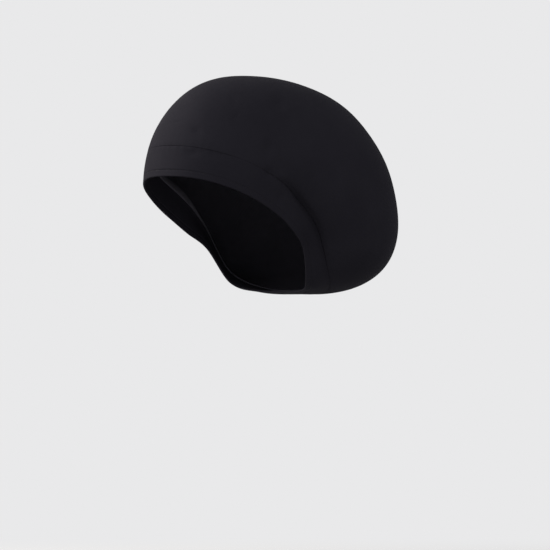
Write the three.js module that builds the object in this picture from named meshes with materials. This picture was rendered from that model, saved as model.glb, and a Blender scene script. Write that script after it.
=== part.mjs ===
// A wave cap of black stretch knit, in the shape it takes when it is worn over a large volume of hair.
// A wide band of doubled cloth closes round the forehead, ears and nape, and holds one seamless crown.
// Millimetres, +Z up. The wearer faces -Y, and +X is the wearer's left.
// The origin is in the middle of the head opening, level with the rim at the forehead.
import * as THREE from "three";

// The head opening, to the outside of the rim
const RIM_FRONT = 98; // from the origin forwards to the forehead
const RIM_HALF_WIDTH = 78; // from the origin to the temples
const RIM_BACK = 94; // from the origin backwards to the nape
const NAPE_DROP = 122; // how far the rim lies lower at the nape than at the forehead

// The band
const BAND_WIDTH = 32; // from the rim to the seam, on the forehead
const BAND_THICKNESS = 2.2; // two layers of knit, folded at the rim
const BAND_SWELL = 0.8; // how far the middle of the band stands out between its edges

// The crown, and the seam that joins it to the band
const CROWN_THICKNESS = 1.2; // one layer of knit
const SEAM_ALLOWANCE = 6; // the edge of the crown that is turned in behind the band
const SEAM_GAP = 0.3; // between the crown and the band, all along the seam

// The head and hair that fill the crown
const HAIR_TOP = 106; // above the origin
const HAIR_BACK = 210; // behind the origin
const HAIR_HALF_WIDTH = 118;
const HAIR_DROP = 127; // under the origin

// Fineness of the faces
const COLUMNS = 64; // round the opening
const BAND_ROWS = 5; // from the rim to the seam
const FOLD_STEPS = 4; // round the folded rim
const CROWN_ROWS = 26; // from the seam to the pole
const ROW_CROWDING = 1.25; // above 1 sets the crown's rows closer near the seam

// The band round the head, by the turn from the forehead in degrees. Both sides are alike.
// drop is how low the rim lies, a share of NAPE_DROP.
// rise and flare are how far the seam lies above and outside the rim, shares of BAND_WIDTH.
// ease is how soon the crown rounds out from the seam, in degrees seen from the middle of the hair.
const BAND_SECTIONS = [
  { turn: 0, drop: 0.0, rise: 0.96, flare: -0.18, ease: 24 },
  { turn: 30, drop: 0.03, rise: 0.98, flare: -0.16, ease: 24 },
  { turn: 60, drop: 0.15, rise: 1.06, flare: -0.1, ease: 22 },
  { turn: 90, drop: 0.36, rise: 1.16, flare: -0.03, ease: 18 },
  { turn: 105, drop: 0.485, rise: 1.09, flare: 0.08, ease: 15 },
  { turn: 120, drop: 0.62, rise: 0.72, flare: 0.42, ease: 14 },
  { turn: 137, drop: 0.92, rise: 0.38, flare: 0.7, ease: 14 },
  { turn: 158, drop: 1.0, rise: 0.02, flare: 0.95, ease: 16 },
  { turn: 180, drop: 1.0, rise: -0.08, flare: 1.0, ease: 18 },
];

// The rounded masses that the cloth is drawn over, along the middle of the head.
// wide, deep and high are shares of half the width, the reach backwards and the height that fits names:
// those of the head opening for the head, and those of the hair for the hair.
// back and up place the middle, shares of HAIR_BACK and HAIR_TOP. pad rounds all sides, a share of HAIR_DROP.
const FITS = {
  opening: new THREE.Vector3(RIM_HALF_WIDTH, RIM_FRONT, HAIR_TOP),
  hair: new THREE.Vector3(HAIR_HALF_WIDTH, HAIR_BACK, HAIR_TOP),
};
const MASSES = [
  { name: "head", fits: "opening", back: 0.0, up: -0.12, wide: 1.0, deep: 1.0, high: 1.06, pad: 0.0 },
  { name: "upper_hair", fits: "hair", back: 0.47, up: 0.05, wide: 0.9, deep: 0.38, high: 0.82, pad: 0.0 },
  { name: "nape_roll", fits: "hair", back: 0.57, up: -0.62, wide: 0.5, deep: 0.175, high: 0.12, pad: 0.4 },
];
const HAIR_MIDDLE = { back: 0.29, up: -0.28 }; // a point inside all three
const STRETCH = 9; // how flat the cloth spans from one mass to the next
const POLE_TILT = 60; // of the crown's pole above the level, seen from the middle of the hair, in degrees

// The point of the cloth that lies in a given direction is found by small corrections.
const CORRECTIONS = 80;
const CORRECTION_RATE = 0.3;

const radians = THREE.MathUtils.degToRad;
const hairMiddle = new THREE.Vector3(0, HAIR_MIDDLE.back * HAIR_BACK, HAIR_MIDDLE.up * HAIR_TOP);
const poleDirection = new THREE.Vector3(0, Math.cos(radians(POLE_TILT)), Math.sin(radians(POLE_TILT)));
const turns = Array.from({ length: COLUMNS }, (_, column) => (360 * column) / COLUMNS);

// One column of BAND_SECTIONS at any turn, on a smooth curve that runs level at the forehead and the nape.
function bandShare(name, turn) {
  const rows = BAND_SECTIONS;
  const last = rows.length - 1;
  const at = turn > 180 ? 360 - turn : turn;
  const low = Math.min(last - 1, rows.findLastIndex((row) => row.turn <= at));
  const slope = (k) => {
    if (k === 0 || k === last) return 0;
    return (rows[k + 1][name] - rows[k - 1][name]) / (rows[k + 1].turn - rows[k - 1].turn);
  };
  const step = rows[low + 1].turn - rows[low].turn;
  const t = (at - rows[low].turn) / step;
  const blend = t * t * (3 - 2 * t);
  return (
    rows[low][name] * (1 - blend) +
    rows[low + 1][name] * blend +
    slope(low) * step * t * (1 - t) * (1 - t) -
    slope(low + 1) * step * t * t * (1 - t)
  );
}

// How far the opening reaches from the origin, forwards or backwards.
function rimReach(turn) {
  return Math.cos(radians(turn)) > 0 ? RIM_FRONT : RIM_BACK;
}

function rimPoint(turn) {
  const angle = radians(turn);
  return new THREE.Vector3(
    RIM_HALF_WIDTH * Math.sin(angle),
    -rimReach(turn) * Math.cos(angle),
    -NAPE_DROP * bandShare("drop", turn),
  );
}

// The level direction straight away from the head.
function outwards(turn) {
  const angle = radians(turn);
  const [across, along] = [Math.sin(angle) / RIM_HALF_WIDTH, -Math.cos(angle) / rimReach(turn)];
  return new THREE.Vector3(across, along, 0).normalize();
}

function seamPoint(turn) {
  const point = rimPoint(turn).addScaledVector(outwards(turn), BAND_WIDTH * bandShare("flare", turn));
  point.z += BAND_WIDTH * bandShare("rise", turn);
  return point;
}

// The point of a cloth drawn tight over all the masses that faces a direction, from the middle of the hair.
// Each mass counts by how far it reaches that way, so the cloth spans smoothly from one to the next.
function clothFacing(direction) {
  const touched = MASSES.map((mass) => {
    const size = new THREE.Vector3(mass.wide, mass.deep, mass.high).multiply(FITS[mass.fits]);
    const scaled = direction.clone().multiply(size);
    const point = new THREE.Vector3(0, mass.back * HAIR_BACK, mass.up * HAIR_TOP)
      .sub(hairMiddle)
      .addScaledVector(scaled.clone().multiply(size), 1 / scaled.length())
      .addScaledVector(direction, mass.pad * HAIR_DROP);
    return { point, reach: Math.max(point.dot(direction), 0) };
  });
  const whole = touched.reduce((sum, mass) => sum + mass.reach ** STRETCH, 0) ** (1 / STRETCH);
  const result = new THREE.Vector3();
  touched.forEach((mass) => result.addScaledVector(mass.point, (mass.reach / whole) ** (STRETCH - 1)));
  return result;
}

// How far the cloth lies from the middle of the hair in a direction.
function clothReach(direction) {
  const faces = direction.clone();
  for (let k = 0; k < CORRECTIONS; k++) {
    const seen = clothFacing(faces).normalize();
    faces.addScaledVector(direction, CORRECTION_RATE).addScaledVector(seen, -CORRECTION_RATE).normalize();
  }
  return clothFacing(faces).length();
}

// The outer face of the crown in one column, from just above the seam to just before the pole.
// The band draws the cloth in at the seam, and away from it the cloth rounds out over the hair.
function crownColumn(start, turn) {
  const startDirection = start.clone().sub(hairMiddle).normalize();
  const drawnIn = start.distanceTo(hairMiddle) / clothReach(startDirection) - 1;
  const whole = startDirection.angleTo(poleDirection);
  const ease = radians(bandShare("ease", turn));
  return Array.from({ length: CROWN_ROWS }, (_, row) => {
    const along = (row / CROWN_ROWS) ** ROW_CROWDING;
    const direction = startDirection
      .clone()
      .multiplyScalar(Math.sin((1 - along) * whole))
      .addScaledVector(poleDirection, Math.sin(along * whole))
      .normalize();
    const held = (1 - along) * Math.exp((-along * whole) / ease);
    return hairMiddle.clone().addScaledVector(direction, clothReach(direction) * (1 + drawnIn * held));
  });
}

// A ring of points is one row round the opening. The facings of a list of rings point out of the cloth.
// They are lengthened where the rings turn sharply, so that a wall set off by them keeps its thickness.
function facingsOf(rings) {
  const strip = (r, c) => {
    const across = rings[r][(c + 1) % COLUMNS].clone().sub(rings[r][(c + COLUMNS - 1) % COLUMNS]);
    return (to, from) => across.clone().cross(rings[to][c].clone().sub(rings[from][c])).normalize();
  };
  const last = rings.length - 1;
  return rings.map((ring, r) =>
    ring.map((_, c) => {
      const facing = strip(r, c);
      const below = facing(Math.max(r, 1), Math.max(r, 1) - 1);
      const above = facing(Math.min(r, last - 1) + 1, Math.min(r, last - 1));
      return below.clone().add(above).divideScalar(1 + below.dot(above));
    }),
  );
}

function setOff(ring, facings, distance) {
  return ring.map((point, c) => point.clone().addScaledVector(facings[c], distance));
}

// A closed body of rings joined each to the next. Its two ends close on tips, and without tips on each other.
// Each four-sided patch is split along its shorter diagonal, so that walls that lie side by side match.
function bodyOfRings(name, material, rings, tips) {
  const points = [...rings.flat(), ...(tips ? [tips.first, tips.last] : [])];
  const index = (r, c) => (r % rings.length) * COLUMNS + (c % COLUMNS);
  const [firstTip, lastTip] = [rings.length * COLUMNS, rings.length * COLUMNS + 1];
  const faces = [];
  for (let c = 0; c < COLUMNS; c++) {
    for (let r = 0; r < (tips ? rings.length - 1 : rings.length); r++) {
      const patch = [index(r, c), index(r, c + 1), index(r + 1, c + 1), index(r + 1, c)];
      const diagonal = (k) => points[patch[k]].distanceTo(points[patch[k + 2]]);
      const turned = diagonal(0) > diagonal(1) ? 1 : 0;
      const corner = (k) => patch[(k + turned) % 4];
      faces.push(corner(0), corner(1), corner(2), corner(0), corner(2), corner(3));
    }
    if (tips) {
      faces.push(index(0, c + 1), index(0, c), firstTip);
      faces.push(index(rings.length - 1, c), index(rings.length - 1, c + 1), lastTip);
    }
  }
  const geometry = new THREE.BufferGeometry();
  const positions = points.flatMap((point) => point.toArray());
  geometry.setAttribute("position", new THREE.Float32BufferAttribute(positions, 3));
  geometry.setIndex(faces);
  geometry.computeVertexNormals();
  const mesh = new THREE.Mesh(geometry, material);
  mesh.name = name;
  return mesh;
}

// The band without its thickness: rows from the rim to the seam.
const bandRows = Array.from({ length: BAND_ROWS + 1 }, (_, row) =>
  turns.map((turn) => rimPoint(turn).lerp(seamPoint(turn), row / BAND_ROWS)),
);
const bandFacings = facingsOf(bandRows);

// The direction across the band at each column, from the rim to the seam.
const bandAcross = turns.map((_, c) => bandRows[BAND_ROWS][c].clone().sub(bandRows[0][c]).normalize());

// The inner face of the band, moved inwards by a distance. The row may lie between two rows.
function behindBand(row, distance) {
  const low = Math.min(BAND_ROWS - 1, Math.floor(row));
  const [lower, upper] = [low, low + 1].map((k) =>
    setOff(bandRows[k], bandFacings[k], -(BAND_THICKNESS + distance)),
  );
  return lower.map((point, c) => point.lerp(upper[c], row - low));
}

// A ring moved along the band's own slope, away from the rim.
function alongBand(ring, distance) {
  return ring.map((point, c) => point.clone().addScaledVector(bandAcross[c], distance));
}

function makeBand() {
  const outer = bandRows.map((ring, row) =>
    setOff(ring, bandFacings[row], BAND_SWELL * Math.sin((Math.PI * row) / BAND_ROWS)),
  );
  const inner = bandRows.map((_, row) => behindBand(row, 0));
  const fold = Array.from({ length: FOLD_STEPS - 1 }, (_, k) => {
    const angle = (Math.PI * (k + 1)) / FOLD_STEPS;
    const depth = (BAND_THICKNESS / 2) * (1 + Math.cos(angle));
    const under = (BAND_THICKNESS / 2) * Math.sin(angle);
    return alongBand(setOff(bandRows[0], bandFacings[0], -depth), -under);
  });
  const material = new THREE.MeshStandardMaterial({ color: 0x2a292c, roughness: 0.82, metalness: 0 });
  return bodyOfRings("band", material, [...outer, ...inner.reverse(), ...fold]);
}

function makeCrown() {
  const tuckStart = BAND_ROWS * (1 - SEAM_ALLOWANCE / BAND_WIDTH);
  const tuckRows = [tuckStart, ...bandRows.keys().filter((row) => row > tuckStart)];
  const tuck = tuckRows.map((row) => behindBand(row, SEAM_GAP));
  const overEdge = alongBand(tuck.at(-1), SEAM_GAP);
  const start = alongBand(bandRows[BAND_ROWS], 2 * SEAM_GAP);
  const columns = start.map((point, c) => crownColumn(point, turns[c]));
  const rows = Array.from({ length: CROWN_ROWS }, (_, row) => columns.map((column) => column[row]));
  const outer = [...tuck.slice(0, -1), overEdge, ...rows];
  const pole = hairMiddle.clone().addScaledVector(poleDirection, clothReach(poleDirection));
  const facings = facingsOf([...outer, turns.map(() => pole)]);
  const inner = outer.map((ring, r) => setOff(ring, facings[r], -CROWN_THICKNESS));
  const innerPole = pole.clone().addScaledVector(poleDirection, -CROWN_THICKNESS);
  const material = new THREE.MeshStandardMaterial({ color: 0x232226, roughness: 0.88, metalness: 0 });
  return bodyOfRings("crown", material, [...inner.reverse(), ...outer], { first: innerPole, last: pole });
}

const cap = new THREE.Group();
cap.add(makeBand(), makeCrown());

export default cap;
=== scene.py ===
import math

import bpy
import numpy as np
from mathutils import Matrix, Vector, noise


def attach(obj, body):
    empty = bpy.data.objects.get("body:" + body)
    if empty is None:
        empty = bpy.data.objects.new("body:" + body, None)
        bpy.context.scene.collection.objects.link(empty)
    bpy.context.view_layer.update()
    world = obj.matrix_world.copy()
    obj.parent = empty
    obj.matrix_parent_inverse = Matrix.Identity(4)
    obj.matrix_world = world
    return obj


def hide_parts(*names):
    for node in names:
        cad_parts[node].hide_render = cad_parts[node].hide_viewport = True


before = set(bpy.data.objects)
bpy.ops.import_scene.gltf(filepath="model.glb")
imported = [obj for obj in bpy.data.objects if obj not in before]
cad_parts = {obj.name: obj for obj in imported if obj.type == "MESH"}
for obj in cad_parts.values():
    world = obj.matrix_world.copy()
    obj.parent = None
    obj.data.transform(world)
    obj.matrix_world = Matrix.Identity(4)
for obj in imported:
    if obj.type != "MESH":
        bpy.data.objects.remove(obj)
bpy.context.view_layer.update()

MM = 0.001  # the cap's sizes are in millimetres until they become vertices

# The cap's own sizes, the same as those of its solids.
# The origin is in the middle of the head opening, level with the rim at the forehead. The front is -Y.
RIM_FRONT = 98  # from the origin forwards to the forehead
RIM_HALF_WIDTH = 78  # from the origin to the temples
RIM_BACK = 94  # from the origin backwards to the nape
NAPE_DROP = 122  # how far the rim lies lower at the nape than at the forehead
BAND_WIDTH = 32
BAND_THICKNESS = 2.2  # two layers of knit, folded at the rim
BAND_SWELL = 0.8  # how far the middle of the band stands out between its edges
CROWN_THICKNESS = 1.2  # one layer of knit
SEAM_ALLOWANCE = 6  # the edge of the crown that is turned in behind the band
SEAM_GAP = 0.3  # between the band and the edge behind it
HAIR_TOP = 106  # above the origin
HAIR_BACK = 210  # behind the origin
HAIR_HALF_WIDTH = 118
HAIR_DROP = 127  # under the origin

# The band round the head, by the turn from the forehead in degrees. Both sides are alike.
# drop is how low the rim lies, a share of NAPE_DROP.
# rise and flare are how far the seam lies above and outside the rim, shares of BAND_WIDTH.
# ease is the angle, seen from the middle of the hair, over which the crown rounds out from the seam.
# In millimetres, groove is how deep the cloth is drawn in at the seam, roll how far from it that reaches,
# slit how wide the seam stands open, and hem how deep the row of stitches above the rim draws the band in.
BAND_SECTIONS = [
    dict(turn=0, drop=0.0, rise=0.96, flare=-0.18, ease=24, groove=0.7, roll=1.8, slit=0.4, hem=0.9),
    dict(turn=30, drop=0.03, rise=0.98, flare=-0.16, ease=24, groove=0.3, roll=2.4, slit=0.14, hem=0.4),
    dict(turn=60, drop=0.15, rise=1.06, flare=-0.1, ease=22, groove=0.15, roll=3.5, slit=0.05, hem=0.3),
    dict(turn=90, drop=0.36, rise=1.16, flare=-0.03, ease=18, groove=0.8, roll=4.5, slit=0.05, hem=0.3),
    dict(turn=105, drop=0.485, rise=1.09, flare=0.08, ease=15, groove=2.3, roll=4.8, slit=0.06, hem=0.3),
    dict(turn=120, drop=0.62, rise=0.72, flare=0.42, ease=14, groove=2.2, roll=4.5, slit=0.06, hem=0.3),
    dict(turn=137, drop=0.92, rise=0.38, flare=0.7, ease=14, groove=0.5, roll=3.6, slit=0.05, hem=0.3),
    dict(turn=158, drop=1.0, rise=0.02, flare=0.95, ease=16, groove=0.6, roll=2.8, slit=0.15, hem=0.3),
    dict(turn=180, drop=1.0, rise=-0.08, flare=1.0, ease=18, groove=0.7, roll=2.4, slit=0.3, hem=0.3),
]

# The rounded masses that the cloth is drawn over, along the middle of the head.
# wide, deep and high are shares of the sizes that a mass fits, back of HAIR_BACK and up of HAIR_TOP.
# pad is rounding added on all sides, a share of HAIR_DROP.
FITS = dict(
    opening=(RIM_HALF_WIDTH, RIM_FRONT, HAIR_TOP),
    hair=(HAIR_HALF_WIDTH, HAIR_BACK, HAIR_TOP),
)
MASSES = [
    dict(fits="opening", back=0.0, up=-0.12, wide=1.0, deep=1.0, high=1.06, pad=0.0),
    dict(fits="hair", back=0.47, up=0.05, wide=0.9, deep=0.38, high=0.82, pad=0.0),
    dict(fits="hair", back=0.57, up=-0.62, wide=0.5, deep=0.175, high=0.12, pad=0.4),
]
STRETCH = 9  # how flat the cloth spans from one mass to the next
HAIR_MIDDLE = np.array([0, 0.29 * HAIR_BACK, -0.28 * HAIR_TOP])
POLE_TILT = math.radians(60)  # of the crown's pole above the level, seen from the middle of the hair
POLE = np.array([0, math.cos(POLE_TILT), math.sin(POLE_TILT)])
CORRECTIONS = 60  # tries at the point of the cloth that lies in a given direction
CORRECTION_RATE = 0.3

# Sewing. The seam's ripples vary in height by the share uneven and wander by drift radians.
SEAM_PUCKER = dict(length=9, height=0.09, reach=5, uneven=0.6, uneven_size=27, drift=2.5, drift_size=45)
HEM_HEIGHT = 5.6  # the row of stitches above the rim
HEM_HALF_WIDTH = 0.75  # of the groove that they draw in
STITCH_LENGTH = 2.6
STITCH_SPACE = 0.6
STITCH_LIFT = 0.4  # of a stitch's middle above the groove, in thread radii
STITCH_DIVE = 2.2  # of its ends, down from that, in thread radii
OVERLOCK_STEP = 2.8  # from one stitch to the next round the turned-in edge
THREAD_RADIUS = 0.14
THREAD_TAPER = 0.12  # how blunt the ends of a thread are, 0 for a point

# Relief that the hair gives to the crown
HAIR_LUMPS = dict(size=62, height=1.1, clear_of_seam=30)

# Small dents and wrinkles, by turn and by along, a share of the crown's way from the seam to the pole or of
# the band's from the rim to the seam. wide lies round the cap and tall along it. tip leans them, in degrees.
CROWN_DENTS = [
    dict(turn=0, along=0.101, wide=10, tall=1.5, tip=2, depth=1.0),
    dict(turn=22, along=0.068, wide=5, tall=4, tip=-20, depth=0.9),
    dict(turn=30, along=0.03, wide=20, tall=6, tip=-2, depth=-0.7),
    dict(turn=36, along=0.26, wide=4, tall=7, tip=25, depth=0.5),
    dict(turn=44.5, along=0.187, wide=2.4, tall=4, tip=-10, depth=0.5),
    dict(turn=67, along=0.382, wide=8, tall=10, tip=0, depth=2.0),
    dict(turn=73.5, along=0.121, wide=6, tall=8, tip=20, depth=2.0),
    dict(turn=78.5, along=0.0, wide=5, tall=5, tip=0, depth=1.6),
    dict(turn=88, along=0.02, wide=6, tall=6, tip=20, depth=-1.0),
    dict(turn=281, along=0.03, wide=6, tall=6, tip=15, depth=1.6),
    dict(turn=296, along=0.15, wide=9, tall=5, tip=-30, depth=1.2),
    dict(turn=332, along=0.12, wide=9, tall=2.2, tip=-12, depth=0.9),
]
BAND_DENTS = [
    dict(turn=24, along=0.84, wide=9, tall=4, tip=4, depth=1.0),
    dict(turn=38, along=0.88, wide=18, tall=5, tip=-4, depth=0.6),
    dict(turn=78.5, along=1.0, wide=5, tall=5, tip=0, depth=1.6),
    dict(turn=88, along=0.55, wide=5, tall=8, tip=25, depth=2.0),
    dict(turn=281, along=0.97, wide=6, tall=6, tip=15, depth=1.4),
]
DENT_REACH = 60  # a dent stops here, so that it leaves no mark on the other side of the cap
ELSEWHERE = 300  # a step in the noise to heights that have nothing to do with the first ones

# Fineness
CROWN_COLUMNS = 360
CROWN_ROWS = 120
ROW_CROWDING = 1.25  # of the crown's rows towards the seam
INSIDE_ROWS = 56  # of the inner face of the crown, past its corner at the seam
CORNER_CLEARANCE = 3 * CROWN_THICKNESS  # from the seam to the first of them
BAND_COLUMNS = 720
BAND_ROWS = 30
HEM_ROWS = dict(start=0.1, end=0.26, count=17, clear=0.005)  # closer rows at the hem, by shares of the band
FOLD_STEPS = 8  # round the folded rim
LINE_COLUMNS = 4 * BAND_COLUMNS  # of the lines that are sewn along
STITCH_POINTS = 7
THREAD_SIDES = 6


# Shape of the cap


def turns_of(columns):
    return np.arange(columns) * 360 / columns


def unit(v):
    return v / np.linalg.norm(v, axis=-1, keepdims=True)


def band_share(name, turn):
    """One column of BAND_SECTIONS at any turns, on a smooth curve, level at the forehead and the nape."""
    at = np.where(turn > 180, 360 - turn, turn)
    x = np.array([row["turn"] for row in BAND_SECTIONS], float)
    y = np.array([row[name] for row in BAND_SECTIONS], float)
    slope = np.zeros(len(x))
    slope[1:-1] = (y[2:] - y[:-2]) / (x[2:] - x[:-2])
    low = np.clip(np.searchsorted(x, at, side="right") - 1, 0, len(x) - 2)
    step = x[low + 1] - x[low]
    t = (at - x[low]) / step
    blend = t * t * (3 - 2 * t)
    level = y[low] * (1 - blend) + y[low + 1] * blend
    return level + slope[low] * step * t * (1 - t) ** 2 - slope[low + 1] * step * t * t * (1 - t)


def rim_reach(turn):
    """The length of the opening in front of the origin and behind it."""
    return np.where(np.cos(np.radians(turn)) > 0, RIM_FRONT, RIM_BACK)


def rim_line(turn):
    angle = np.radians(turn)
    across = RIM_HALF_WIDTH * np.sin(angle)
    along = -rim_reach(turn) * np.cos(angle)
    return np.stack([across, along, -NAPE_DROP * band_share("drop", turn)], -1)


def seam_line(turn):
    angle = np.radians(turn)
    away = unit(np.stack([np.sin(angle) / RIM_HALF_WIDTH, -np.cos(angle) / rim_reach(turn), 0 * angle], -1))
    line = rim_line(turn) + away * (BAND_WIDTH * band_share("flare", turn))[:, None]
    line[:, 2] += BAND_WIDTH * band_share("rise", turn)
    return line


def cloth_facing(directions):
    """The points that face the directions, on a cloth drawn tight over all the masses."""
    points, reaches = [], []
    for mass in MASSES:
        size = np.array([mass["wide"], mass["deep"], mass["high"]]) * FITS[mass["fits"]]
        middle = np.array([0, mass["back"] * HAIR_BACK, mass["up"] * HAIR_TOP]) - HAIR_MIDDLE
        scaled = directions * size
        point = middle + scaled * size / np.linalg.norm(scaled, axis=-1, keepdims=True)
        point = point + directions * mass["pad"] * HAIR_DROP
        points.append(point)
        reaches.append(np.maximum((point * directions).sum(-1), 0))
    whole = sum(reach**STRETCH for reach in reaches) ** (1 / STRETCH)
    return sum(point * ((reach / whole) ** (STRETCH - 1))[..., None] for point, reach in zip(points, reaches))


def cloth_reach(directions):
    """How far the cloth lies from the middle of the hair in the directions."""
    faces = directions.copy()
    for _ in range(CORRECTIONS):
        faces = unit(faces + CORRECTION_RATE * (directions - unit(cloth_facing(faces))))
    return np.linalg.norm(cloth_facing(faces), axis=-1)


def facings_of(rings):
    """Directions out of the cloth, longer where it turns sharply, so that a wall keeps its thickness."""
    across = np.roll(rings, -1, axis=1) - np.roll(rings, 1, axis=1)
    steps = np.diff(rings, axis=0)
    below = unit(np.cross(across, np.concatenate([steps[:1], steps])))
    above = unit(np.cross(across, np.concatenate([steps, steps[-1:]])))
    return (below + above) / (1 + (below * above).sum(-1, keepdims=True))


def lengths_along(rings):
    """The distance of each ring's points from the first ring, measured along the cloth."""
    steps = np.linalg.norm(np.diff(rings, axis=0), axis=-1)
    return np.concatenate([np.zeros((1, rings.shape[1])), np.cumsum(steps, axis=0)])


def steps_round(line):
    """The distance from each point of a closed line to the next."""
    return np.linalg.norm(np.roll(line, -1, axis=0) - line, axis=1)


def soft_noise(points, size):
    """Smooth random heights from -1 to 1, with features of a size in millimetres."""
    flat = points.reshape(-1, 3) / size
    return np.array([noise.noise(Vector(p)) for p in flat]).reshape(points.shape[:-1])


def bump_row(distance, half_width):
    return np.exp(-((distance / half_width) ** 2))


def band_rings(columns, rows):
    """The middle surface of the band's outer layer, from the rim to the seam."""
    turn = turns_of(columns)
    share = np.asarray(rows)[:, None, None]
    return rim_line(turn) * (1 - share) + seam_line(turn) * share


def seam_groove(turn, from_seam):
    """How deep the cloth is drawn in, most at the seam itself."""
    return band_share("groove", turn) * bump_row(from_seam, band_share("roll", turn))


def seam_pucker(turn, from_seam):
    """Ripples where the stitches draw the cloth together, dying away from the seam."""
    seam = seam_line(turn)
    around = steps_round(seam).cumsum()
    count = round(around[-1] / SEAM_PUCKER["length"])
    phase = 2 * np.pi * count * around / around[-1]
    uneven = 1 + SEAM_PUCKER["uneven"] * soft_noise(seam, SEAM_PUCKER["uneven_size"])
    drift = SEAM_PUCKER["drift"] * soft_noise(seam + ELSEWHERE, SEAM_PUCKER["drift_size"])
    return SEAM_PUCKER["height"] * uneven * np.sin(phase + drift) * np.exp(-from_seam / SEAM_PUCKER["reach"])


def dent_depth(rings, turn, share, dent):
    """How deep a dent lies at each point of the rings."""
    column = np.argmin(np.abs(turn - dent["turn"]))
    row = min(np.argmin(np.abs(share - dent["along"])), len(rings) - 2)
    centre = rings[row, column]
    around = unit(rings[row, (column + 1) % len(turn)] - centre)
    upwards = unit(rings[row + 1, column] - centre)
    lean = math.radians(dent["tip"])
    long_way = around * math.cos(lean) + upwards * math.sin(lean)
    short_way = upwards * math.cos(lean) - around * math.sin(lean)
    away = rings - centre
    depth = dent["depth"] * bump_row(away @ long_way, dent["wide"]) * bump_row(away @ short_way, dent["tall"])
    return np.where(np.linalg.norm(away, axis=-1) < DENT_REACH, depth, 0)


# Building meshes


def link(name, data):
    made = bpy.data.objects.new(name, data)
    bpy.context.scene.collection.objects.link(made)
    return made


def add_piece(name, mesh, materials):
    """Shades a mesh smooth and adds it as a piece of the cap."""
    for material in materials:
        mesh.materials.append(material)
    mesh.polygons.foreach_set("use_smooth", [True] * len(mesh.polygons))
    mesh.update()
    piece = link(name, mesh)
    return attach(piece, "root")


def body_of_rings(name, rings, places, materials, inside=(), tips=None):
    """A closed body of rings joined each to the next, its ends closed on tips or on each other.

    places are how far along the cloth each point lies, for the UVs.
    inside are the rings of the inner face, which takes the second material.
    """
    count, columns = rings.shape[:2]
    joins = count - 1 if tips is not None else count
    ring, column = (grid.ravel() for grid in np.meshgrid(np.arange(joins), np.arange(columns), indexing="ij"))
    corners = [(0, 0), (0, 1), (1, 1), (1, 0)]
    quads = np.stack([(ring + r) % count * columns + (column + c) % columns for r, c in corners], -1)
    rounds = np.stack([(column + c) / columns for _, c in corners], -1)
    alongs = np.stack([places[(ring + r) % count, (column + c) % columns] for r, c in corners], -1)
    faces = quads.tolist()
    uvs = [np.stack([rounds, alongs], -1).reshape(-1, 2)]
    faces_inside = np.isin(ring, inside)
    vertices = rings.reshape(-1, 3)
    if tips is not None:
        vertices = np.concatenate([vertices, tips])
        first, last = np.arange(columns), np.arange(columns) + (count - 1) * columns
        ends = [
            np.stack([np.roll(first, -1), first, np.full(columns, count * columns)], -1),
            np.stack([last, np.roll(last, -1), np.full(columns, count * columns + 1)], -1),
        ]
        faces += np.concatenate(ends).tolist()
        c = np.arange(columns)
        for r, order in ((0, (1, 0)), (count - 1, (0, 1))):
            pair = [np.stack([(c + k) / columns, places[r, (c + k) % columns]], -1) for k in order]
            tip = np.stack([(c + 0.5) / columns, 0 * c], -1)
            uvs.append(np.stack([*pair, tip], 1).reshape(-1, 2))
        end_rings = np.repeat([0, count - 1], columns)
        faces_inside = np.concatenate([faces_inside, np.isin(end_rings, inside)])
    mesh = bpy.data.meshes.new(name)
    mesh.from_pydata((vertices * MM).tolist(), [], faces)
    mesh.uv_layers.new(name="cloth").data.foreach_set("uv", np.concatenate(uvs).ravel())
    mesh.polygons.foreach_set("material_index", faces_inside.astype(int))
    return add_piece(name, mesh, materials)


def resampled(values, line, places):
    """Values that belong to the points of a closed line, at lengths measured along it."""
    lengths = np.concatenate([[0], np.cumsum(steps_round(line))])
    closed = np.concatenate([values, values[:1]])
    return np.stack([np.interp(places % lengths[-1], lengths, closed[:, k]) for k in range(3)], -1)


def threads(name, paths, facings, material):
    """Round threads along paths of points that lie on a cloth, drawn thin at their ends."""
    number, steps = paths.shape[:2]
    ahead = unit(np.gradient(paths, axis=1))
    aside = unit(np.cross(ahead, facings))
    above = np.cross(aside, ahead)
    angle = np.arange(THREAD_SIDES) * 2 * np.pi / THREAD_SIDES
    taper = np.sqrt(np.sin(np.linspace(THREAD_TAPER, np.pi - THREAD_TAPER, steps)))
    ring = aside[:, :, None] * np.cos(angle)[:, None] + above[:, :, None] * np.sin(angle)[:, None]
    vertices = (paths[:, :, None] + THREAD_RADIUS * taper[:, None, None] * ring).reshape(-1, 3)
    first = np.arange(number)[:, None, None] * steps * THREAD_SIDES
    low = first + np.arange(steps - 1)[None, :, None] * THREAD_SIDES
    side = np.arange(THREAD_SIDES)
    following = np.roll(side, -1)
    rows = [low + side, low + following, low + THREAD_SIDES + following, low + THREAD_SIDES + side]
    faces = np.stack(rows, -1).reshape(-1, 4).tolist()
    faces += (first[:, 0] + side[::-1]).tolist()
    faces += (first[:, 0] + (steps - 1) * THREAD_SIDES + side).tolist()
    mesh = bpy.data.meshes.new(name)
    mesh.from_pydata((vertices * MM).tolist(), [], faces)
    return add_piece(name, mesh, [material])


# Materials


def linear(colour):
    """An sRGB hex colour as linear red, green, blue and alpha."""
    values = [int(colour[k : k + 2], 16) / 255 for k in (1, 3, 5)]
    return [v / 12.92 if v <= 0.04045 else ((v + 0.055) / 1.055) ** 2.4 for v in values] + [1]


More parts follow.
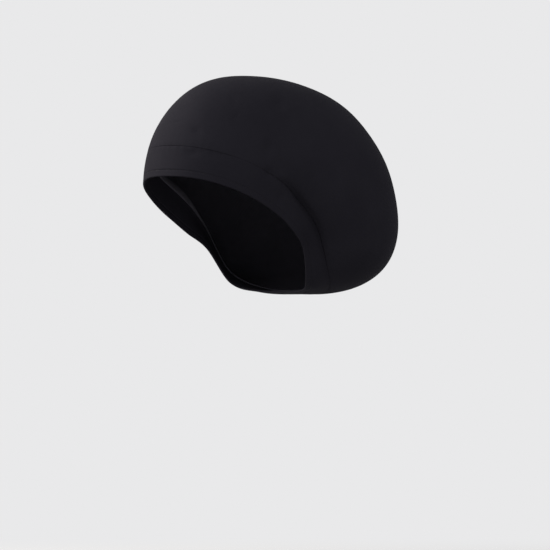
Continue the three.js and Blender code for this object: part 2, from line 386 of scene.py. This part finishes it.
def add_node(tree, kind, settings=None, links=None):
    """Adds a node, with settings for its properties or inputs and links that feed inputs.

    A link comes from an output, or from a node, which stands for its first output.
    """
    made = tree.nodes.new(kind)
    for key, value in (settings or {}).items():
        if isinstance(key, int) or key in made.inputs:
            made.inputs[key].default_value = value
        else:
            setattr(made, key, value)
    for key, source in (links or {}).items():
        output = source.outputs[0] if isinstance(source, bpy.types.Node) else source
        tree.links.new(output, made.inputs[key])
    return made


def new_material(name):
    material = bpy.data.materials.new(name)
    material.use_nodes = True
    material.node_tree.nodes.clear()
    return material, material.node_tree


# Black nylon and elastane, knitted as a fine single jersey and dyed: dull and soft, with hardly any shine.
# Its face shows upright columns of small V-shaped loops. Its reverse shows rows of low arcs and looks greyer,
# because the elastane lies bare on that side and takes less dye; its colours are also lightened further
# as painted light, for the inside of the cap, where little light reaches.
JERSEY_DARK = "#141318"
JERSEY_LIGHT = "#201f24"
# The reverse's colours are partly its real greyness and partly painted light, so that the dark inside of the
# cap shows its knit.
JERSEY_BACK_DARK = "#2b2a30"
JERSEY_BACK_LIGHT = "#413f46"
# The band's colours are a touch darker than the crown's: painted shade, for the band turned further from the
# light than the crown above it.
BAND_DARK = "#131217"
BAND_LIGHT = "#1f1e23"
JERSEY_SHEEN = "#9a98a4"
WALE = 1.6  # the real columns lie about 0.8 mm apart, drawn at twice that so that they can show at all
COURSE = 1.3  # the real rows lie about 0.65 mm apart, drawn at twice that too
CROWN_GIRTH = 700  # a ring this long has columns WALE apart, and on those from the seam, 719 to 853 long, wider
BAND_GIRTH = 560  # likewise, where the band's rings are 627 to 718 long
LOOP_HEIGHT = 0.16
LOOP_RIDGE = 0.7  # the share of a loop's relief that is its column, the rest being its two slanted legs
ARC_BOW = 1.6  # of the arcs on the reverse
POLE_FADE = dict(start=12.0, end=60.0)  # from the pole, where the columns crowd and no loops are drawn
BAND_PLACE = 300  # how far from the pole the band's rim counts as lying, so that its loops don't fade
FUZZ = dict(size=0.9, height=0.8)  # tufts of fibre ends, really about 0.2 mm, drawn coarser so that they show
DYE_SIZE = 45  # of soft patches where the dye took a little more or less
TONE = dict(least=0.15, relief=0.13, dye=0.55)  # added up, from the dark colour at 0 to the light one at 1; the relief share is painted shade, lighter on the tops of the loops and tufts and darker in the hollows between them


def knitted_jersey(name, girth, dark, light, face):
    """Fine single jersey, its columns running from the rim towards the pole. Its angles are in radians."""
    material, tree = new_material(name)
    cloth = add_node(tree, "ShaderNodeUVMap", {"uv_map": "cloth"})
    place = add_node(tree, "ShaderNodeSeparateXYZ", links={0: cloth})
    columns = round(girth / WALE)
    wales = add_node(
        tree,
        "ShaderNodeMath",
        {"operation": "MULTIPLY_ADD", 1: math.tau * columns, 2: math.pi},
        {0: place.outputs["X"]},
    )
    courses = add_node(
        tree, "ShaderNodeMath", {"operation": "MULTIPLY", 1: math.tau / COURSE}, {0: place.outputs["Y"]}
    )
    across = add_node(tree, "ShaderNodeMath", {"operation": "PINGPONG", 1: math.pi}, {0: wales})
    if face:
        slanted = add_node(tree, "ShaderNodeMath", {"operation": "ADD"}, {0: courses, 1: across})
        legs = add_node(tree, "ShaderNodeMath", {"operation": "SINE"}, {0: slanted})
        ridges = add_node(tree, "ShaderNodeMath", {"operation": "SINE"}, {0: across})
        raised = add_node(tree, "ShaderNodeMath", {"operation": "MULTIPLY", 1: LOOP_RIDGE}, {0: ridges})
        height = add_node(
            tree, "ShaderNodeMath", {"operation": "MULTIPLY_ADD", 1: 1 - LOOP_RIDGE}, {0: legs, 2: raised}
        )
    else:
        square = add_node(tree, "ShaderNodeMath", {"operation": "MULTIPLY"}, {0: across, 1: across})
        arcs = add_node(
            tree,
            "ShaderNodeMath",
            {"operation": "MULTIPLY_ADD", 1: ARC_BOW / math.tau},
            {0: square, 2: courses},
        )
        height = add_node(tree, "ShaderNodeMath", {"operation": "SINE"}, {0: arcs})
    fade = add_node(
        tree,
        "ShaderNodeMapRange",
        {"interpolation_type": "SMOOTHSTEP", "From Min": POLE_FADE["start"], "From Max": POLE_FADE["end"]},
        {"Value": place.outputs["Y"]},
    )
    loops = add_node(tree, "ShaderNodeMath", {"operation": "MULTIPLY"}, {0: height, 1: fade})
    where = add_node(tree, "ShaderNodeTexCoord").outputs["Object"]
    fuzz = add_node(
        tree,
        "ShaderNodeTexNoise",
        {"Scale": 1 / (FUZZ["size"] * MM), "Detail": 3.0, "Roughness": 0.7},
        {"Vector": where},
    )
    dye = add_node(
        tree,
        "ShaderNodeTexNoise",
        {"Scale": 1 / (DYE_SIZE * MM), "Detail": 4.0, "Roughness": 0.55},
        {"Vector": where},
    )
    relief = add_node(
        tree, "ShaderNodeMath", {"operation": "MULTIPLY_ADD", 1: FUZZ["height"]}, {0: fuzz, 2: loops}
    )
    # The relief of the loops and fuzz also goes into the colour: painted shade, darker in the hollows between
    # them and lighter on their tops.
    tone_with_painted_shade = add_node(
        tree,
        "ShaderNodeMath",
        {"operation": "MULTIPLY_ADD", 1: TONE["relief"], 2: TONE["least"]},
        {0: relief},
    )
    tone = add_node(
        tree,
        "ShaderNodeMath",
        {"operation": "MULTIPLY_ADD", "use_clamp": True, 1: TONE["dye"]},
        {0: dye, 2: tone_with_painted_shade},
    )
    colour = add_node(
        tree,
        "ShaderNodeMix",
        {"data_type": "RGBA", "A": linear(dark), "B": linear(light)},
        {"Factor": tone},
    )
    bump = add_node(
        tree, "ShaderNodeBump", {"Strength": 0.55, "Distance": LOOP_HEIGHT * MM}, {"Height": relief}
    )
    shader = add_node(
        tree,
        "ShaderNodeBsdfPrincipled",
        {
            "Roughness": 0.9,
            "IOR": 1.5,
            "Specular IOR Level": 0.02,
            "Sheen Weight": 0.01,
            "Sheen Roughness": 0.45,
            "Sheen Tint": linear(JERSEY_SHEEN),
        },
        {"Base Color": colour.outputs["Result"], "Normal": bump},
    )
    add_node(tree, "ShaderNodeOutputMaterial", links={"Surface": shader})
    return material


# Black polyester sewing thread, two plies twisted together: fine slanting ridges, glossier than the knit.
THREAD_COLOUR = "#100f12"
THREAD_PLY = 1.1  # the real ply turns about every 0.8 mm, drawn a little coarser so that it can show
PLY_HEIGHT = 0.08
WAVE_REPEAT = 2 * math.pi / 10  # between the bands of a diagonal wave, along X, Y or Z, at a scale of 1


def twisted_thread(name, colour):
    material, tree = new_material(name)
    where = add_node(tree, "ShaderNodeTexCoord").outputs["Object"]
    ply = add_node(
        tree,
        "ShaderNodeTexWave",
        {
            "wave_type": "BANDS",
            "bands_direction": "DIAGONAL",
            "Scale": WAVE_REPEAT / (THREAD_PLY * MM),
            "Distortion": 1.0,
        },
        {"Vector": where},
    )
    bump = add_node(tree, "ShaderNodeBump", {"Strength": 0.4, "Distance": PLY_HEIGHT * MM}, {"Height": ply})
    shader = add_node(
        tree,
        "ShaderNodeBsdfPrincipled",
        {"Base Color": linear(colour), "Roughness": 0.6, "IOR": 1.57, "Specular IOR Level": 0.15},
        {"Normal": bump},
    )
    add_node(tree, "ShaderNodeOutputMaterial", links={"Surface": shader})
    return material


# The pieces of the cap


def crown_surface(turn, start):
    """The crown's smooth outer face, in rings from its start above the seam to the pole, and their shares."""
    from_middle = start - HAIR_MIDDLE
    start_direction = unit(from_middle)
    drawn_in = np.linalg.norm(from_middle, axis=-1) / cloth_reach(start_direction) - 1
    whole = np.arccos(start_direction @ POLE)
    ease = np.radians(band_share("ease", turn))
    share = ((np.arange(CROWN_ROWS) / CROWN_ROWS) ** ROW_CROWDING)[:, None]
    directions = unit(
        start_direction * np.sin((1 - share) * whole)[..., None] + POLE * np.sin(share * whole)[..., None]
    )
    held = (1 - share) * np.exp(-share * whole / ease)
    rows = HAIR_MIDDLE + directions * (cloth_reach(directions) * (1 + drawn_in * held))[..., None]
    tip = HAIR_MIDDLE + POLE * cloth_reach(POLE[None])
    return np.concatenate([rows, np.tile(tip, (1, len(turn), 1))]), share[:, 0]


def crown_relief(rings, turn, share, from_seam):
    """How far the crown stands out from its smooth face, for lumps of hair, the seam, dents and wrinkles."""
    relief = HAIR_LUMPS["height"] * soft_noise(rings, HAIR_LUMPS["size"])
    relief *= 1 - bump_row(from_seam, HAIR_LUMPS["clear_of_seam"])
    relief += seam_pucker(turn, from_seam) - seam_groove(turn, from_seam)
    relief -= sum(dent_depth(rings, turn, share, dent) for dent in CROWN_DENTS)
    relief[-1] = relief[-1].mean()
    return relief


def make_crown(face, back):
    """One layer of knit from its edge, turned in behind the band, over the hair to the pole."""
    turn = turns_of(CROWN_COLUMNS)
    rim, seam = rim_line(turn), seam_line(turn)
    slit = band_share("slit", turn)[:, None] * unit(seam - rim)
    rings, share = crown_surface(turn, seam + slit)
    from_seam = lengths_along(rings)
    relief = crown_relief(rings, turn, share, from_seam)
    outer = (rings + relief[..., None] * facings_of(rings))[:-1]
    pole = (rings[-1, 0] + relief[-1, 0] * POLE)[None]
    flat = band_rings(CROWN_COLUMNS, [0, 1 - SEAM_ALLOWANCE / BAND_WIDTH, 1])
    behind = flat - (BAND_THICKNESS + SEAM_GAP + seam_groove(turn, 0))[:, None] * facings_of(flat)
    tuck = np.stack([behind[1], behind[2] + slit / 2])
    outer = np.concatenate([tuck, outer])
    wall = facings_of(np.concatenate([outer, np.tile(pole, (1, CROWN_COLUMNS, 1))]))[:-1]
    inner = outer - CROWN_THICKNESS * wall
    clear_of_corner = np.argmax(from_seam.min(axis=1) > CORNER_CLEARANCE) + len(tuck)
    coarser = np.linspace(clear_of_corner, len(inner) - 1, INSIDE_ROWS).round().astype(int)
    kept = np.concatenate([np.arange(len(tuck) + 1), coarser])
    to_pole = from_seam[-1] - from_seam
    first = to_pole[:1]
    places = np.concatenate([first + SEAM_ALLOWANCE, first + SEAM_GAP, to_pole[:-1]])
    body = body_of_rings(
        "crown_cloth",
        np.concatenate([inner[kept][::-1], outer]),
        np.concatenate([places[kept][::-1], places]),
        [face, back],
        inside=np.arange(len(kept)),
        tips=np.concatenate([pole - CROWN_THICKNESS * POLE, pole]),
    )
    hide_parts("crown")
    return body


def band_rows():
    """How far up the band its rows lie, closer together at its edges and along its hem."""
    share = (1 - np.cos(np.linspace(0, np.pi, BAND_ROWS))) / 2
    start, end = HEM_ROWS["start"], HEM_ROWS["end"]
    clear_of_hem = (share < start - HEM_ROWS["clear"]) | (share > end + HEM_ROWS["clear"])
    return np.sort(np.concatenate([share[clear_of_hem], np.linspace(start, end, HEM_ROWS["count"])]))


def make_band(face):
    """Knit folded double at the rim, drawn in at the seam and along its hem."""
    turn = turns_of(BAND_COLUMNS)
    share = band_rows()
    rings = band_rings(BAND_COLUMNS, share)
    facings = facings_of(rings)
    from_rim = lengths_along(rings)
    to_seam = from_rim[-1] - from_rim
    rings = rings - seam_groove(turn, to_seam)[..., None] * facings
    hem = band_share("hem", turn) * bump_row(from_rim - HEM_HEIGHT, HEM_HALF_WIDTH)
    relief = BAND_SWELL * np.sin(np.pi * share)[:, None] - hem + seam_pucker(turn, to_seam)
    relief -= sum(dent_depth(rings, turn, share, dent) for dent in BAND_DENTS)
    outer = rings + relief[..., None] * facings
    inner = rings - (BAND_THICKNESS - hem)[..., None] * facings
    down = unit(rings[0] - rings[-1])
    angle = np.pi * np.arange(1, FOLD_STEPS)[:, None, None] / FOLD_STEPS
    fold = rings[0] - BAND_THICKNESS / 2 * ((1 + np.cos(angle)) * facings[0] - np.sin(angle) * down)
    lengths = np.concatenate([from_rim, from_rim[::-1], np.repeat(from_rim[:1], FOLD_STEPS - 1, 0)])
    body = body_of_rings(
        "band_cloth", np.concatenate([outer, inner[::-1], fold]), BAND_PLACE + lengths, [face]
    )
    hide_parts("band")
    return body


def band_line(turn, height, depth):
    """A line round the band, so far above the rim and so far behind its outer face, and the way it faces."""
    rim, seam = rim_line(turn), seam_line(turn)
    width = np.linalg.norm(seam - rim, axis=1, keepdims=True)
    facing = facings_of(np.stack([rim, seam]))[0]
    swell = BAND_SWELL * np.sin(np.pi * height / width)
    return rim + (seam - rim) / width * height + facing * (swell - depth), facing


def make_hem_stitches(material):
    """A row of plain stitches above the rim, through both layers, showing on both faces of the band."""
    turn = turns_of(LINE_COLUMNS)
    groove = band_share("hem", turn)[:, None]
    share = np.linspace(0, 1, STITCH_POINTS)
    filled = STITCH_LENGTH / (STITCH_LENGTH + STITCH_SPACE)
    lift = THREAD_RADIUS * (STITCH_LIFT - STITCH_DIVE * np.abs(2 * share - 1) ** 4)[:, None]
    paths, facings = [], []
    for side, depth in ((1, groove), (-1, BAND_THICKNESS - groove)):
        line, facing = band_line(turn, HEM_HEIGHT, depth)
        total = steps_round(line).sum()
        count = round(total / (STITCH_LENGTH + STITCH_SPACE))
        places = (np.arange(count)[:, None] + share * filled) * total / count
        out = side * resampled(facing, line, places)
        paths.append(resampled(line, line, places) + out * lift)
        facings.append(out)
    same = min(len(rows) for rows in paths)  # as many as inside, so the outer row ends three stitches early
    return threads(
        "hem_stitches",
        np.concatenate([rows[:same] for rows in paths]),
        np.concatenate([rows[:same] for rows in facings]),
        material,
    )


def make_seam_overlock(material):
    """Thread wound to and fro over the edge of the crown that is turned in behind the band."""
    turn = turns_of(LINE_COLUMNS)
    rim, seam = rim_line(turn), seam_line(turn)
    across = unit(seam - rim)
    facing = facings_of(np.stack([rim, seam]))[0]
    seam = seam - seam_groove(turn, 0)[:, None] * facing
    total = steps_round(seam).sum()
    count = round(total / OVERLOCK_STEP)
    # One turn of the thread: how far round its step, under the seam and behind the band's outer face it lies
    behind = BAND_THICKNESS + SEAM_GAP + CROWN_THICKNESS
    winding = [
        dict(share=0.0, under=1.4, depth=behind + 0.1),
        dict(share=0.2, under=3.6, depth=behind + 0.15),
        dict(share=0.38, under=SEAM_ALLOWANCE - 0.2, depth=behind + 0.1),
        dict(share=0.5, under=SEAM_ALLOWANCE + 0.3, depth=behind - 0.5 * CROWN_THICKNESS),
        dict(share=0.62, under=SEAM_ALLOWANCE - 0.2, depth=behind + 0.1),
        dict(share=0.8, under=3.6, depth=behind + 0.15),
        dict(share=1.0, under=1.4, depth=behind + 0.1),
    ]
    paths = []
    for point in winding:
        places = (np.arange(count) + point["share"]) * total / count
        at = [resampled(values, seam, places) for values in (seam, across, facing)]
        paths.append(at[0] - at[1] * point["under"] - at[2] * point["depth"])
    middle = resampled(facing, seam, (np.arange(count) + 0.5) * total / count)
    facings = -np.repeat(middle[:, None], len(winding), axis=1)
    return threads("seam_overlock", np.stack(paths, axis=1), facings, material)


band_face = knitted_jersey("black_jersey_band", BAND_GIRTH, BAND_DARK, BAND_LIGHT, face=True)
crown_face = knitted_jersey("black_jersey_crown", CROWN_GIRTH, JERSEY_DARK, JERSEY_LIGHT, face=True)
crown_back = knitted_jersey(
    "black_jersey_reverse", CROWN_GIRTH, JERSEY_BACK_DARK, JERSEY_BACK_LIGHT, face=False
)
thread = twisted_thread("black_sewing_thread", THREAD_COLOUR)

crown = make_crown(crown_face, crown_back)
band = make_band(band_face)
hem = make_hem_stitches(thread)
overlock = make_seam_overlock(thread)


# The studio, in metres

VIEW_TURN = math.radians(40)
VIEW_DISTANCE = 8.0
VIEW_SPAN = 0.5775  # the width of the whole image at the cap
SENSOR_WIDTH = 36  # millimetres
RIGHT = Vector((math.cos(VIEW_TURN), math.sin(VIEW_TURN), 0))  # in the image
TO_CAMERA = Vector((math.sin(VIEW_TURN), -math.cos(VIEW_TURN), 0))
AIM = RIGHT * 0.0515 + Vector((0, 0, -0.104))  # the point in the middle of the image
BACKDROP = "#e9e9ea"
PAPER = "#aeaeaf"
PAPER_GRAIN = dict(size=10 / 9 * MM, height=0.2 * MM)  # coarser than real paper's, so that it can show
FLOOR_HEIGHT = -0.42
FLOOR_RADIUS = 7.0
FLOOR_SIDES = 96
FLOOR_FADE = dict(start=0.15, end=1.2)  # from its middle, where the paper turns into the backdrop


def softbox(name, azimuth, elevation, distance, size, watts, colour="#ffffff"):
    """A round soft light that faces AIM. Azimuth 0 is at -Y, the cap's front, and 90 at +X."""
    lamp = bpy.data.lights.new(name, "AREA")
    lamp.color = linear(colour)[:3]
    lamp.shape = "DISK"
    lamp.size = size
    lamp.energy = watts
    made = link(name, lamp)
    a, e = math.radians(azimuth), math.radians(elevation)
    away = Vector((math.sin(a) * math.cos(e), -math.cos(a) * math.cos(e), math.sin(e)))
    made.location = AIM + away * distance
    made.rotation_euler = away.to_track_quat("Z", "Y").to_euler()


def studio_paper():
    """Pale seamless paper, which fades into the backdrop all round so that no horizon shows."""
    material, tree = new_material("pale_studio_paper")
    where = add_node(tree, "ShaderNodeTexCoord").outputs["Object"]
    grain = add_node(
        tree, "ShaderNodeTexNoise", {"Scale": 1 / PAPER_GRAIN["size"], "Detail": 3.0}, {"Vector": where}
    )
    bump = add_node(
        tree, "ShaderNodeBump", {"Strength": 0.1, "Distance": PAPER_GRAIN["height"]}, {"Height": grain}
    )
    paper = add_node(
        tree, "ShaderNodeBsdfDiffuse", {"Color": linear(PAPER), "Roughness": 1.0}, {"Normal": bump}
    )
    backdrop = add_node(tree, "ShaderNodeEmission", {"Color": linear(BACKDROP), "Strength": 1.0})
    distance = add_node(tree, "ShaderNodeVectorMath", {"operation": "LENGTH"}, {0: where})
    fade = add_node(
        tree,
        "ShaderNodeMapRange",
        {"interpolation_type": "SMOOTHSTEP", "From Min": FLOOR_FADE["start"], "From Max": FLOOR_FADE["end"]},
        {"Value": distance.outputs["Value"]},
    )
    blend = add_node(tree, "ShaderNodeMixShader", links={0: fade, 1: paper, 2: backdrop})
    add_node(tree, "ShaderNodeOutputMaterial", links={"Surface": blend})
    return material


def make_floor():
    mesh = bpy.data.meshes.new("studio_floor")
    angles = [math.tau * k / FLOOR_SIDES for k in range(FLOOR_SIDES)]
    edge = [(FLOOR_RADIUS * math.cos(angle), FLOOR_RADIUS * math.sin(angle), 0) for angle in angles]
    mesh.from_pydata(edge, [], [list(range(FLOOR_SIDES))])
    mesh.materials.append(studio_paper())
    floor = link("studio_floor", mesh)
    floor.location = (AIM.x, AIM.y, FLOOR_HEIGHT)


camera_data = bpy.data.cameras.new("camera")
camera_data.sensor_width = SENSOR_WIDTH
camera_data.lens = VIEW_DISTANCE * SENSOR_WIDTH / VIEW_SPAN
camera = link("camera", camera_data)
camera.location = AIM + TO_CAMERA * VIEW_DISTANCE
camera.rotation_euler = TO_CAMERA.to_track_quat("Z", "Y").to_euler()
bpy.context.scene.camera = camera
bpy.context.scene.view_settings.view_transform = "Standard"

world = bpy.data.worlds.new("backdrop")
world.use_nodes = True
world.node_tree.nodes["Background"].inputs["Color"].default_value = linear(BACKDROP)
bpy.context.scene.world = world

make_floor()
softbox("key_softbox", azimuth=-56, elevation=25, distance=2.0, size=1.8, watts=84, colour="#fffaee")
softbox("fill_softbox", azimuth=-4, elevation=32, distance=2.2, size=1.2, watts=18)
softbox("side_softbox", azimuth=108, elevation=38, distance=2.2, size=1.2, watts=7)
